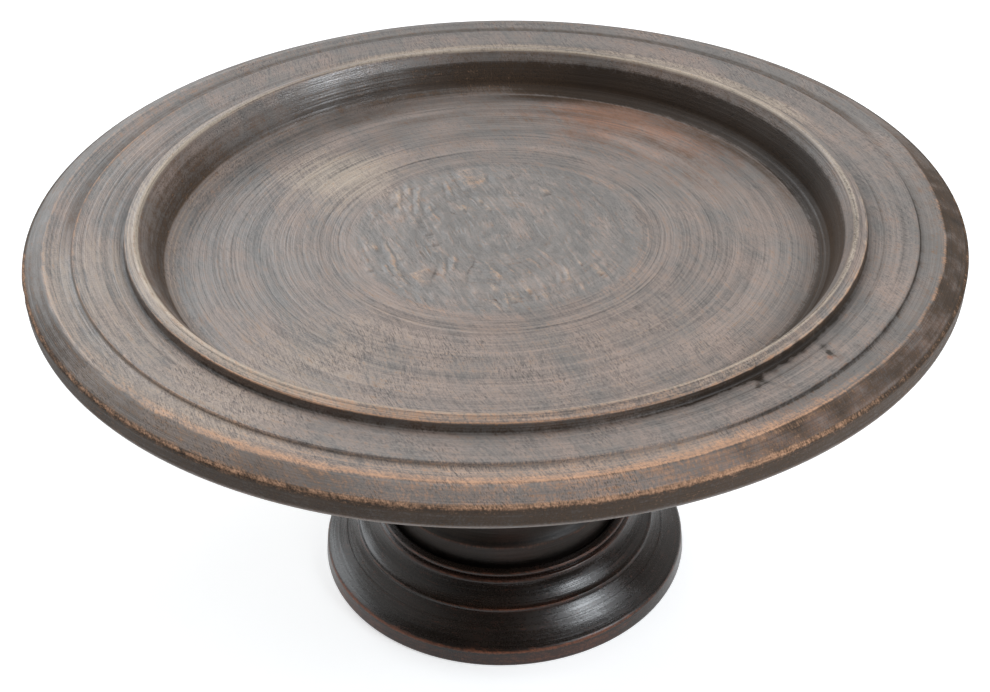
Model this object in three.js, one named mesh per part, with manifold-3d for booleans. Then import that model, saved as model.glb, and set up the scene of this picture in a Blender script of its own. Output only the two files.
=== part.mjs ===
// Pedestal tray of turned, dark-stained hardwood: a wide shallow dish with a moulded rim, a waisted
// stem, and a flared foot. The stem has a round tenon at each end. The upper one is glued into a
// blind mortise under the dish and held by bamboo pegs, and the lower one passes through the foot
// and is spread by two wedges driven up from below.
// Millimetres, +Z up, origin at the middle of the flat ring that the foot stands on.
import * as THREE from "three";
import { mergeVertices } from "three/addons/utils/BufferGeometryUtils.js";
import Module from "manifold-3d";

const wasm = await Module();
wasm.setup();

// Fits
const clearance = 0.3; // glue gap between neighbouring pieces
const overcut = 1; // how far a cutting tool runs past the face that it opens

// Dish: the moulded rim, from the edge inwards
const rimRadius = 180;
const rimHeight = 173; // top corner of the edge above the ground
const edgeThickness = 9.2;
const edgeCorner = 0.6;
const edgeRound = 3.2; // rounding of the edge's lower corner
const shoulderWidth = 9; // rounded shoulder between the edge and the outer band
const shoulderRise = 2.9;
const outerBandWidth = 9.5;
const outerBandDip = 1.6;
const stepHeight = 1.4;
const stepDraft = 0.4;
const bandFall = 3.3; // the inner band falls this much towards the lip
const bandGrooveGap = 6.4; // from the lip to the groove in the inner band
const bandGrooveDepth = 0.5;
const bandGrooveHalfWidth = 0.9;

// Dish: the raised lip and the well
const lipRadius = 142.4;
const lipHeight = 3.6;
const lipDraft = 0.5;
const lipTopWidth = 4.3;
const lipTopRise = 1.3;
const lipBevelWidth = 3.6;
const lipBevelDrop = 4.5;
const wallWidth = 6.1; // the well's wall leans in by this much from the bevel to the floor
const wellDepth = 12.2; // floor of the well below the rim's edge
const wallFillet = 3;

// Dish: underside
const floorThickness = 12;
const undersideFlatRadius = 118;
const bossRadius = 60;
const bossDrop = 8;
const bossCorner = 1;
const bossFillet = 3;

// Upper joint
const upperTenonRadius = 26;
const upperTenonLength = 13;
const tenonChamfer = 1.2;
const pegCount = 3;
const pegRadius = 2.6;
const pegDepth = 12; // how far each peg reaches into the tenon
const pegHeadProud = 0.4;

// Stem
const stemBaseRadius = 51.3;
const stemBaseHeight = 12.5; // straight part above the stem's foot
const stemWaistRadius = 42;
const stemTopRadius = 53;
const stemCorner = 1;
const beadHeight = 4;
const beadProud = 1.4;
const stemFlare = 16; // how gently the stem swells into its ends

// Foot
const footRadius = 81.4;
const footEdgeHeight = 7.2;
const footEdgeDraft = 0.8;
const footEdgeRound = 1;
const ridgeRadius = 66.7;
const ridgeHeight = 18.3;
const ridgeFlat = 1.2; // upright face of the ridge
const ridgeWidth = 1.6;
const coveSag = 1.1;
const collarRadius = 56.8;
const collarHeight = 29.5;
const collarGroove = 0.7;
const arrisProud = 1.2; // the thin arris below the collar stands out by this much
const arrisDrop = 2.9;
const socketDepth = 3.3;
const socketChamfer = 1.8;
const recessRadius = 60;
const recessDepth = 3.5;
const recessFillet = 1.5;

// Lower joint
const lowerTenonRadius = 18;
const wedgeOffset = 6; // from the axis to the middle of each wedge
const wedgeLength = 15;
const wedgeThickness = 3.2;
const wedgeTipThickness = 1;
const wedgeSetback = 1.5; // the wedge's ends stop this far short of the tenon's face

// Fineness of the turned faces
const dishSides = 96;
const stemSides = 56;
const footSides = 64;
const pegSides = 12;
const curveSteps = 4;

const darkWood = new THREE.MeshStandardMaterial({ color: 0x4b3a33, roughness: 0.55, metalness: 0 });
const footWood = new THREE.MeshStandardMaterial({ color: 0x2b211d, roughness: 0.42, metalness: 0 });
const bamboo = new THREE.MeshStandardMaterial({ color: 0x8a6a43, roughness: 0.6, metalness: 0 });
const wedgeWood = new THREE.MeshStandardMaterial({ color: 0x6d4f36, roughness: 0.65, metalness: 0 });

// Levels and radii that follow from the sizes above
const shoulderRadius = rimRadius - shoulderWidth;
const shoulderHeight = rimHeight + shoulderRise;
const stepRadius = shoulderRadius - outerBandWidth;
const stepFootHeight = shoulderHeight - outerBandDip;
const bandHeight = stepFootHeight + stepHeight;
const lipFootHeight = bandHeight - bandFall;
const lipEdgeHeight = lipFootHeight + lipHeight;
const ridgeTopRadius = lipRadius - lipTopWidth;
const ridgeTopHeight = lipEdgeHeight + lipTopRise;
const bevelRadius = ridgeTopRadius - lipBevelWidth;
const bevelHeight = ridgeTopHeight - lipBevelDrop;
const floorRadius = bevelRadius - wallWidth;
const floorHeight = rimHeight - wellDepth;
const edgeFootHeight = rimHeight - edgeThickness;
const undersideHeight = floorHeight - floorThickness;
const bossHeight = undersideHeight - bossDrop;
const mortiseTopHeight = bossHeight + upperTenonLength + clearance;
const socketFloorHeight = collarHeight - socketDepth;
const stemBottomHeight = socketFloorHeight + clearance;
const stemTopHeight = bossHeight - clearance;
const pegHeight = bossHeight + bossDrop / 2;
const pegTipRadius = upperTenonRadius - pegDepth;
const lowerTenonEnd = recessDepth + clearance;

// A merged, closed solid of a three.js geometry.
function solid(geometry) {
  const bare = geometry.clone();
  bare.deleteAttribute("normal");
  bare.deleteAttribute("uv");
  const merged = mergeVertices(bare, 1e-4);
  return new wasm.Manifold(
    new wasm.Mesh({
      numProp: 3,
      vertProperties: merged.attributes.position.array,
      triVerts: new Uint32Array(merged.index.array),
    }),
  );
}

// The three.js geometry of a turned body after its holes are cut.
function cut(body, holes) {
  const mesh = holes.reduce((rest, hole) => rest.subtract(solid(hole)), solid(body)).getMesh();
  const geometry = new THREE.BufferGeometry();
  geometry.setAttribute("position", new THREE.BufferAttribute(mesh.vertProperties, 3));
  geometry.setIndex(new THREE.BufferAttribute(mesh.triVerts, 1));
  geometry.computeVertexNormals();
  return geometry;
}

// Turns an outline of radius and height about the vertical axis.
function turned(outline, sides) {
  return new THREE.LatheGeometry(outline.getPoints(curveSteps), sides).rotateX(Math.PI / 2);
}

// A round rod along a radius of the dish at the pegs' height: a peg, or the hole for it.
function rod(radius, inner, outer, angle) {
  const body = new THREE.CylinderGeometry(radius, radius, outer - inner, pegSides);
  body.rotateZ(-Math.PI / 2);
  body.translate((inner + outer) / 2, 0, 0);
  return body.rotateZ(angle).translate(0, 0, pegHeight);
}

// A flat taper, thick end down, across the lower tenon: a wedge, or the kerf that takes it.
function taper(gap, bottom, reach) {
  const half = wedgeThickness / 2 + gap;
  const tipHalf = wedgeTipThickness / 2 + gap;
  const top = lowerTenonEnd + wedgeLength + gap;
  const face = new THREE.Shape();
  face.moveTo(-half, bottom);
  face.lineTo(half, bottom);
  face.lineTo(tipHalf, top);
  face.lineTo(-tipHalf, top);
  face.closePath();
  const body = new THREE.ExtrudeGeometry(face, { depth: 2 * reach, bevelEnabled: false });
  return body.translate(0, 0, -reach).rotateX(Math.PI / 2);
}

const pegAngles = Array.from({ length: pegCount }, (_, i) => Math.PI / 2 + (2 * Math.PI * i) / pegCount);
const wedgeSides = [-1, 1];

// The dish, turned from one wide board, with its mortise and peg holes.
function dishGeometry() {
  const mortiseRadius = upperTenonRadius + clearance;
  const grooveRadius = lipRadius + bandGrooveGap;
  const groove = (radius) => lipFootHeight + (bandFall * (radius - lipRadius)) / (stepRadius - lipRadius);
  const o = new THREE.Path();
  o.moveTo(0, mortiseTopHeight);
  o.lineTo(mortiseRadius, mortiseTopHeight);
  o.lineTo(mortiseRadius, bossHeight);
  o.lineTo(bossRadius - bossCorner, bossHeight);
  o.lineTo(bossRadius, bossHeight + bossCorner);
  o.lineTo(bossRadius, undersideHeight - bossFillet);
  o.quadraticCurveTo(bossRadius, undersideHeight, bossRadius + bossFillet, undersideHeight);
  o.lineTo(undersideFlatRadius, undersideHeight);
  o.bezierCurveTo(
    lipRadius, undersideHeight,
    stepRadius, edgeFootHeight - edgeRound,
    rimRadius - edgeRound, edgeFootHeight,
  );
  o.quadraticCurveTo(rimRadius, edgeFootHeight, rimRadius, edgeFootHeight + edgeRound);
  o.lineTo(rimRadius, rimHeight - edgeCorner);
  o.lineTo(rimRadius - edgeCorner, rimHeight);
  o.quadraticCurveTo(shoulderRadius + shoulderWidth / 3, shoulderHeight, shoulderRadius, shoulderHeight);
  o.quadraticCurveTo(shoulderRadius - outerBandWidth / 2, stepFootHeight, stepRadius + stepDraft, stepFootHeight);
  o.lineTo(stepRadius, bandHeight);
  o.lineTo(grooveRadius + bandGrooveHalfWidth, groove(grooveRadius + bandGrooveHalfWidth));
  o.lineTo(grooveRadius, groove(grooveRadius) - bandGrooveDepth);
  o.lineTo(grooveRadius - bandGrooveHalfWidth, groove(grooveRadius - bandGrooveHalfWidth));
  o.lineTo(lipRadius + lipDraft, lipFootHeight);
  o.lineTo(lipRadius, lipEdgeHeight);
  o.lineTo(ridgeTopRadius, ridgeTopHeight);
  o.lineTo(bevelRadius, bevelHeight);
  o.lineTo(floorRadius + wallFillet / 2, floorHeight + wallFillet);
  o.quadraticCurveTo(floorRadius, floorHeight, floorRadius - wallFillet, floorHeight);
  o.lineTo(0, floorHeight);
  const holes = pegAngles.map((angle) =>
    rod(pegRadius + clearance, upperTenonRadius - overcut, bossRadius + overcut, angle),
  );
  return cut(turned(o, dishSides), holes);
}

// The stem, with its two tenons, turned from one block, then sawn and drilled.
function stemGeometry() {
  const beadFoot = stemBottomHeight + stemBaseHeight;
  const neckRadius = stemTopRadius - beadProud;
  const neckHeight = stemTopHeight - beadHeight;
  const waistHeight = (stemBottomHeight + stemTopHeight) / 2;
  const tenonTop = mortiseTopHeight - clearance;
  const o = new THREE.Path();
  o.moveTo(0, lowerTenonEnd);
  o.lineTo(lowerTenonRadius - tenonChamfer, lowerTenonEnd);
  o.lineTo(lowerTenonRadius, lowerTenonEnd + tenonChamfer);
  o.lineTo(lowerTenonRadius, stemBottomHeight);
  o.lineTo(stemBaseRadius - stemCorner, stemBottomHeight);
  o.lineTo(stemBaseRadius, stemBottomHeight + stemCorner);
  o.lineTo(stemBaseRadius, beadFoot);
  o.lineTo(stemBaseRadius - beadProud, beadFoot + beadProud);
  o.bezierCurveTo(
    stemWaistRadius, beadFoot + stemFlare / 2,
    stemWaistRadius, waistHeight - stemFlare / 2,
    stemWaistRadius, waistHeight,
  );
  o.bezierCurveTo(
    stemWaistRadius, waistHeight + stemFlare,
    neckRadius, neckHeight - stemFlare,
    neckRadius, neckHeight,
  );
  o.lineTo(stemTopRadius, neckHeight + beadProud);
  o.lineTo(stemTopRadius, stemTopHeight);
  o.lineTo(upperTenonRadius, stemTopHeight);
  o.lineTo(upperTenonRadius, tenonTop - tenonChamfer);
  o.lineTo(upperTenonRadius - tenonChamfer, tenonTop);
  o.lineTo(0, tenonTop);
  const kerf = () => taper(clearance, lowerTenonEnd - overcut, lowerTenonRadius + overcut);
  const holes = [
    ...wedgeSides.map((side) => kerf().translate(side * wedgeOffset, 0, 0)),
    ...pegAngles.map((angle) =>
      rod(pegRadius + clearance, pegTipRadius - clearance, upperTenonRadius + overcut, angle),
    ),
  ];
  return cut(turned(o, stemSides), holes);
}

// A hollow moulding from one arris to the next, drawn in by the cove's sag.
function coveTo(outline, fromRadius, fromHeight, toRadius, toHeight) {
  const run = Math.hypot(toRadius - fromRadius, toHeight - fromHeight);
  const inwards = (toHeight - fromHeight) / run;
  const downwards = (fromRadius - toRadius) / run;
  outline.quadraticCurveTo(
    (fromRadius + toRadius) / 2 - 2 * coveSag * inwards,
    (fromHeight + toHeight) / 2 - 2 * coveSag * downwards,
    toRadius,
    toHeight,
  );
}

// The foot, with a socket for the stem's base and a bore for its tenon.
function footGeometry() {
  const boreRadius = lowerTenonRadius + clearance;
  const edgeRadius = footRadius - footEdgeDraft;
  const arrisRadius = collarRadius + arrisProud;
  const arrisHeight = collarHeight - arrisDrop;
  const socketRadius = stemBaseRadius + clearance;
  const o = new THREE.Path();
  o.moveTo(boreRadius, recessDepth);
  o.lineTo(recessRadius - recessFillet, recessDepth);
  o.lineTo(recessRadius, recessDepth - recessFillet);
  o.lineTo(recessRadius, 0);
  o.lineTo(footRadius - footEdgeRound, 0);
  o.lineTo(footRadius, footEdgeRound);
  o.lineTo(edgeRadius, footEdgeHeight);
  coveTo(o, edgeRadius, footEdgeHeight, ridgeRadius, ridgeHeight - ridgeFlat);
  o.lineTo(ridgeRadius, ridgeHeight);
  o.lineTo(ridgeRadius - ridgeWidth, ridgeHeight);
  coveTo(o, ridgeRadius - ridgeWidth, ridgeHeight, arrisRadius, arrisHeight - collarGroove);
  o.lineTo(arrisRadius, arrisHeight);
  o.lineTo(collarRadius - collarGroove, arrisHeight + collarGroove);
  o.lineTo(collarRadius, collarHeight - collarGroove);
  o.lineTo(collarRadius - collarGroove, collarHeight);
  o.lineTo(socketRadius + socketChamfer, collarHeight);
  o.lineTo(socketRadius, collarHeight - socketChamfer);
  o.lineTo(socketRadius, socketFloorHeight);
  o.lineTo(boreRadius, socketFloorHeight);
  o.closePath();
  return turned(o, footSides);
}

// A wedge, as wide as the tenon where its thick end enters the kerf.
function wedgeGeometry() {
  const chord = Math.sqrt(lowerTenonRadius ** 2 - (wedgeOffset + wedgeThickness / 2) ** 2);
  return taper(0, lowerTenonEnd, chord - wedgeSetback);
}

function piece(name, geometry, material) {
  const mesh = new THREE.Mesh(geometry, material);
  mesh.name = name;
  return mesh;
}

const tray = new THREE.Group();
tray.name = "pedestal_tray";
tray.add(piece("dish", dishGeometry(), darkWood));
tray.add(piece("stem", stemGeometry(), footWood));
tray.add(piece("foot", footGeometry(), footWood));

pegAngles.forEach((angle, i) => {
  const peg = rod(pegRadius, pegTipRadius, bossRadius + pegHeadProud, angle);
  tray.add(piece("dish_peg_" + (i + 1), peg, bamboo));
});

wedgeSides.forEach((side, i) => {
  const wedge = piece("foot_wedge_" + (i + 1), wedgeGeometry(), wedgeWood);
  wedge.position.x = side * wedgeOffset;
  tray.add(wedge);
});

export default tray;
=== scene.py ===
# Pedestal tray in turned, dark-stained hardwood, as it looks after long use.
import math
import random

import bpy
import bmesh
from mathutils import Euler, Matrix, Vector, noise
from mathutils.geometry import interpolate_bezier
from mathutils.kdtree import KDTree


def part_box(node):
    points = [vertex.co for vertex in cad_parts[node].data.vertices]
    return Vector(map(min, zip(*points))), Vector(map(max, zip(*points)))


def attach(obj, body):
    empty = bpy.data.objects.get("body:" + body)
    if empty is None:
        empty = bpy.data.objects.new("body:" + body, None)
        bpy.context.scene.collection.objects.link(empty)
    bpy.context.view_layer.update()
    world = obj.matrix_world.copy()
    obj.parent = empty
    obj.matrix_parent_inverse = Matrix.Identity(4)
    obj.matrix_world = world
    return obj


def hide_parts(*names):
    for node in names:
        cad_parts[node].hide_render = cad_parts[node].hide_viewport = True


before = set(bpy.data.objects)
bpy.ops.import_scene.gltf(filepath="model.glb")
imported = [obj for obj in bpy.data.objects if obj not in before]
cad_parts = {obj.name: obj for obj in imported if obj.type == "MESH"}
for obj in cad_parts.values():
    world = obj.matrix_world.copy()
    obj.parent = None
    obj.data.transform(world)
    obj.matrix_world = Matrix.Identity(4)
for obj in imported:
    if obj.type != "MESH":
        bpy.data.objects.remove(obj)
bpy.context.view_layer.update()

# The camera stands in front of the tray and well above it, with a slight lean, and its picture is
# shifted a little, as on a cropped photograph.
camera_back = 0.5216
camera_up = 0.4703
camera_pitch = math.radians(37.93)
camera_yaw = math.radians(1.56)
camera_roll = math.radians(-0.43)
camera_lens = 55.24
camera_shift = (-0.0404, 0.0808)

camera_data = bpy.data.cameras.new("camera")
camera_data.sensor_width = 36.0
camera_data.lens = camera_lens
camera_data.shift_x, camera_data.shift_y = camera_shift
camera = bpy.data.objects.new("camera", camera_data)
bpy.context.scene.collection.objects.link(camera)
bpy.context.scene.camera = camera
look = Vector((
    math.sin(camera_yaw) * math.cos(camera_pitch),
    math.cos(camera_yaw) * math.cos(camera_pitch),
    -math.sin(camera_pitch),
))
level = Vector((math.cos(camera_yaw), -math.sin(camera_yaw), 0.0))
above = level.cross(look)
right = level * math.cos(camera_roll) + above * math.sin(camera_roll)
up = above * math.cos(camera_roll) - level * math.sin(camera_roll)
turn = Matrix((right, up, -look)).transposed().to_4x4()
camera.matrix_world = Matrix.Translation((0.0, -camera_back, camera_up)) @ turn

# Dish: one wide board of ring-porous hardwood, turned on the lathe, stained nearly black, then rubbed
# grey-brown on its flat faces and bare on its edges by use; the grey-brown of the flat faces is partly
# painted sheen. Its boss is bored underneath for the stem's tenon and drilled from the side for three
# pegs. Sizes are in millimetres.
mm = 0.001
rim_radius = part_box("dish")[1].x / mm
dish_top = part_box("dish")[1].z / mm
boss_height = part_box("dish")[0].z / mm
rim_height = dish_top - 4.3
edge_foot = rim_height - 9.2
edge_round = 3.2
band_fall = 3.3
shoulder = (rim_radius - 9, rim_height + 2.9)
step_foot = (shoulder[0] - 9.1, shoulder[1] - 1.6)
step_top = (shoulder[0] - 9.5, step_foot[1] + 1.4)
lip_foot = (rim_radius - 37.1, step_top[1] - band_fall)
lip_edge = (rim_radius - 37.6, lip_foot[1] + 3.6)
band_slope = band_fall / (step_top[0] - lip_edge[0])
groove_gap = 6.4
groove_half = 0.9
groove_depth = 0.25
groove_radius = lip_edge[0] + groove_gap
groove_height = lip_foot[1] + groove_gap * band_slope
lip_ridge = (lip_edge[0] - 4.3, dish_top)
bevel_foot = (lip_ridge[0] - 3.6, dish_top - 4.5)
floor_radius = bevel_foot[0] - 6.1
floor_height = rim_height - 12.2
wall_foot = (floor_radius + 2.3, floor_height + 4.2)
underside = floor_height - 12
underside_flat = 118
boss_radius = 60
mortise_radius = 26.3
mortise_top = boss_height + 13.3
dish_segments = 256
tool_pitch = (1.3, 2.3)
tool_depth = (0.03, 0.11)
deep_rings = (63, 70)
deeper_by = 0.18
tear_radius = 56
clearance = 0.3
grain_angle = math.radians(-66.5)
chance = random.Random(11)


def straight(path, radius, height, spacing=100.0):
    """Takes an outline straight on to a point, in stretches no longer than the spacing."""
    start = Vector(path[-1])
    end = Vector((radius, height))
    count = max(1, math.ceil((end - start).length / spacing))
    path.extend(tuple(start.lerp(end, i / count)) for i in range(1, count + 1))


def bowed(path, handle, end, spacing):
    """Takes an outline on to a point along a bow whose ends both point at the handle."""
    start, handle, end = (Vector((*point, 0)) for point in (path[-1], handle, end))
    count = max(2, math.ceil((end - start).length / spacing))
    lead, trail = start.lerp(handle, 2 / 3), end.lerp(handle, 2 / 3)
    curve = interpolate_bezier(start, lead, trail, end, count + 1)
    path.extend((point.x, point.y) for point in curve[1:])


def cove(path, end, sag, spacing=0.6):
    """A hollow moulding from one arris to the next, sagging inwards by the given depth."""
    start = Vector(path[-1])
    run = Vector(end) - start
    handle = (start + Vector(end)) / 2 + Vector((-run.y, run.x)).normalized() * 2 * sag
    bowed(path, handle, end, spacing)


def turned(path, segments, closed=False):
    """Turns an outline of radius and height about the upright axis."""
    shape = bmesh.new()
    lay = shape.verts.layers.float.new("lay")
    ring = [shape.verts.new((radius, 0, height)) for radius, height in path]
    run = 0.0
    for before, after in zip(ring, ring[1:]):
        run += (after.co - before.co).length
        after[lay] = run
        shape.edges.new((before, after))
    if closed:
        shape.edges.new((ring[-1], ring[0]))
    bmesh.ops.spin(
        shape, geom=shape.verts[:] + shape.edges[:], axis=(0, 0, 1), angle=2 * math.pi,
        steps=segments, use_merge=True,
    )
    bmesh.ops.remove_doubles(shape, verts=shape.verts, dist=0.001)
    bmesh.ops.recalc_face_normals(shape, faces=shape.faces)
    return shape


def near(point, spot, reach):
    """Falls from 1 at the spot to almost nothing past the reach."""
    return math.exp(-(math.dist(point, spot) / reach) ** 2)


def within(value, low, high, fade):
    """1 between two limits, fading to 0 outside them."""
    past = max(low - value, value - high, 0.0)
    return max(0.0, 1.0 - past / fade)


def rough(point, scale):
    """Smooth noise from -1 to 1 over features of about the scale."""
    return noise.noise(Vector(point) / scale)


outline = [(0, mortise_top)]
straight(outline, mortise_radius, mortise_top, 14)
straight(outline, mortise_radius, boss_height, 7)
straight(outline, boss_radius - 1, boss_height, 7)
straight(outline, boss_radius, boss_height + 1)
straight(outline, boss_radius, underside - 3, 2)
bowed(outline, (boss_radius, underside), (boss_radius + 3, underside), 0.8)
straight(outline, underside_flat, underside, 7)
low_bow = interpolate_bezier(
    Vector((underside_flat, underside, 0)), Vector((lip_edge[0], underside, 0)),
    Vector((step_top[0], edge_foot - edge_round, 0)),
    Vector((rim_radius - edge_round, edge_foot, 0)), 16,
)
outline.extend((point.x, point.y) for point in low_bow[1:])
bowed(outline, (rim_radius, edge_foot), (rim_radius, edge_foot + edge_round), 0.7)
straight(outline, rim_radius, rim_height - 0.7, 1.4)
bowed(outline, (rim_radius, rim_height), (rim_radius - 0.8, rim_height + 0.1), 0.4)
bowed(outline, (shoulder[0] + 3, shoulder[1]), shoulder, 0.7)
bowed(outline, (shoulder[0] - 5, step_foot[1]), (step_foot[0] + 1.2, step_foot[1] + 0.05), 0.7)
bowed(outline, step_foot, (step_top[0] + 0.25, step_top[1] - 0.5), 0.35)
bowed(outline, step_top, (step_top[0] - 0.5, step_top[1] - 0.05), 0.25)
straight(outline, groove_radius + groove_half, groove_height + groove_half * band_slope, 0.8)
straight(outline, groove_radius, groove_height - groove_depth)
straight(outline, groove_radius - groove_half, groove_height - groove_half * band_slope)
straight(outline, lip_foot[0] + 1.2, lip_foot[1] + 0.25, 0.8)
bowed(outline, lip_foot, (lip_foot[0] - 0.15, lip_foot[1] + 1), 0.35)
straight(outline, lip_edge[0] + 0.05, lip_edge[1] - 0.5, 0.7)
bowed(outline, lip_edge, (lip_edge[0] - 0.5, lip_edge[1] + 0.15), 0.25)
cove(outline, (lip_ridge[0] + 1.3, lip_ridge[1] - 0.2), 0.12, 0.5)
bowed(outline, (lip_ridge[0] + 0.1, lip_ridge[1]), (lip_ridge[0] - 0.7, lip_ridge[1] - 0.9), 0.3)
straight(outline, bevel_foot[0] + 0.3, bevel_foot[1] + 0.35, 0.8)
bowed(outline, bevel_foot, (bevel_foot[0] - 0.2, bevel_foot[1] - 0.5), 0.4)
straight(outline, *wall_foot, 1.3)
corner = interpolate_bezier(
    Vector((*wall_foot, 0)), Vector((floor_radius + 0.8, floor_height + 1.4, 0)),
    Vector((floor_radius - 1.3, floor_height, 0)), Vector((floor_radius - 4, floor_height, 0)), 5,
)
for point in corner[1:]:
    cove(outline, (point.x, point.y), 0.16, 0.5)
while outline[-1][0] > 4:
    radius = outline[-1][0]
    pitch = chance.uniform(*tool_pitch)
    depth = chance.uniform(*tool_depth)
    if deep_rings[0] < radius < deep_rings[1]:
        depth += deeper_by
    outline.append((radius - pitch / 2, floor_height - depth))
    outline.append((radius - pitch, floor_height))
outline.append((0, floor_height))

dish_shape = turned(outline, dish_segments)


def refined(shape, cuts, inner, outer, start, stop, low):
    """Divides the edges that run round the tray, between two radii and two angles in degrees."""
    chosen = []
    for edge in shape.edges:
        radii = [end.co.xy.length for end in edge.verts]
        middle = (edge.verts[0].co + edge.verts[1].co) / 2
        angle = math.degrees(math.atan2(middle.y, middle.x))
        runs_round = abs(radii[0] - radii[1]) < 0.01
        if runs_round and inner < radii[0] < outer and middle.z > low and start < angle < stop:
            chosen.append(edge)
    bmesh.ops.subdivide_edges(shape, edges=chosen, cuts=cuts)


# The torn middle and the knotty places on the rim get a finer mesh.
refined(dish_shape, 1, 19, tear_radius + 3, -181, 181, floor_height - 0.5)
refined(dish_shape, 3, 142, 159, -60, -38, floor_height)
refined(dish_shape, 3, 147, 154, 27, 52, floor_height)

# Each layer runs from 0, none, to 1, full, and tooled from 0 to about 2. Angles run from -180 to 180
# degrees, with 0 on the right, 90 at the back and -90 at the front.
layer_names = ("worn", "grime_and_shade", "warm", "red", "shade", "tooled", "wet", "torn")
layers = {name: dish_shape.verts.layers.float.new(name) for name in layer_names}
grain_way = Vector((math.cos(grain_angle), math.sin(grain_angle)))
grain_side = Vector((-grain_way.y, grain_way.x))


def floor_paint(x, y, radius, angle):
    """What the well's floor shows at a place, in the order of the layer names."""
    spot = (x, y)
    left = max(within(angle, 140, 180, 20), within(angle, -180, -150, 25))
    worn = 0.22 * near((radius, 0), (59.5, 0), 1.6) * within(angle, -120, 45, 30)
    worn += 0.2 * near((radius, 0), (80, 0), 1.2) * within(angle, 50, 150, 25)
    worn += 0.4 * near((radius, 0), (122.3, 0), 1.6) * within(angle, 158, 180, 12)
    worn += 0.25 * near((radius, 0), (125, 0), 1.2) * within(angle, -170, -125, 12)
    warm = 0.95 * near(spot, (-66, 50), 26 + 10 * rough((x, y, 1), 14))
    warm += 0.3 * near(spot, (-70, -85), 34)
    warm += 0.2 * within(angle, -130, -45, 25) * within(radius, 68, 125, 10)
    streak = rough((1.6 * radius, 0.7 * angle, 15), 9)
    red = (0.8 + 0.4 * streak) * near(spot, (50, 101), 31 + 12 * rough((x, y, 2), 14))
    red += (0.35 + 0.3 * streak) * near(spot, (92, 70), 30)
    red += 0.2 * within(angle, 35, 75, 12) * within(radius, 108, 124, 8)
    # The floor is darker in streaks towards the back, and painted shade darkens it along the foot of
    # the wall.
    streak = rough((1.6 * radius, 0.5 * angle, 14), 12)
    shade = (0.2 + 0.45 * streak) * within(angle, 35, 125, 40) * within(radius, 92, 130, 25)
    floor_shade_by_wall = 0.45 * within(angle, 22, 80, 15) + 0.2 * within(angle, -38, 22, 15)
    floor_shade_by_wall += 0.2 * within(angle, 80, 115, 20)
    shade += floor_shade_by_wall * within(radius, 122, 131, 5)
    tooled = 1 + 0.9 * within(radius, 61, 70, 5)
    tooled += (0.9 * left + 0.7 * within(angle, -30, 120, 25)) * within(radius, 82, 125, 12)
    return worn, 0.0, warm, red, shade, tooled


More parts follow.
